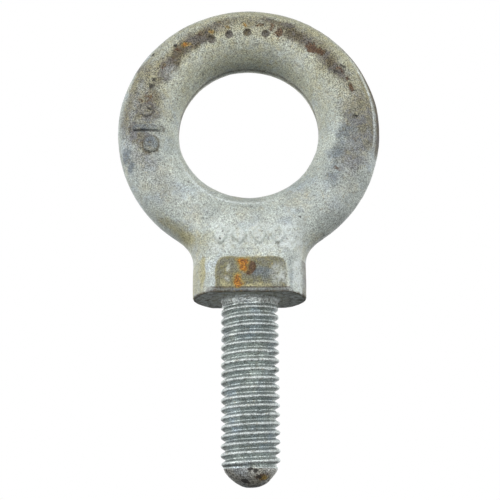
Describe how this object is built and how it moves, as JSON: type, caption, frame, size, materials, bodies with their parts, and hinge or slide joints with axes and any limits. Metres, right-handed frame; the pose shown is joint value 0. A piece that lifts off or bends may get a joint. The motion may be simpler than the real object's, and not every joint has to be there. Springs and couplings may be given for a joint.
{
  "type": "eye bolt",
  "caption": "Forged shoulder-pattern lifting eye bolt: round eye, flared neck, collar with two flats, and a threaded shank with a domed point.",
  "frame": {"origin": "centre of the shoulder's bearing face, on the thread axis", "axes": "+Z along the thread axis towards the eye, Y along the axis of the eye's hole, -Y the marked front"},
  "size_m": [0.0666, 0.0208, 0.1211],
  "materials": {
    "forged_zinc": "weathered galvanised steel with a fine blasted grain, grime and a few rust spots",
    "thread_zinc": "blue-grey zinc on a rolled thread, bright crests and dark roots",
    "point_zinc": "dull grey zinc worn dark at the point",
    "mark_zinc": "the same galvanised forging, rubbed on its raised faces"
  },
  "bodies": {
    "root": {"eye_ring": "forged_zinc", "neck": "forged_zinc", "shoulder_collar": "forged_zinc", "thread": "thread_zinc", "point": "point_zinc", "front_mark": "mark_zinc", "size_mark": "mark_zinc"}
  },
  "joints": []
}
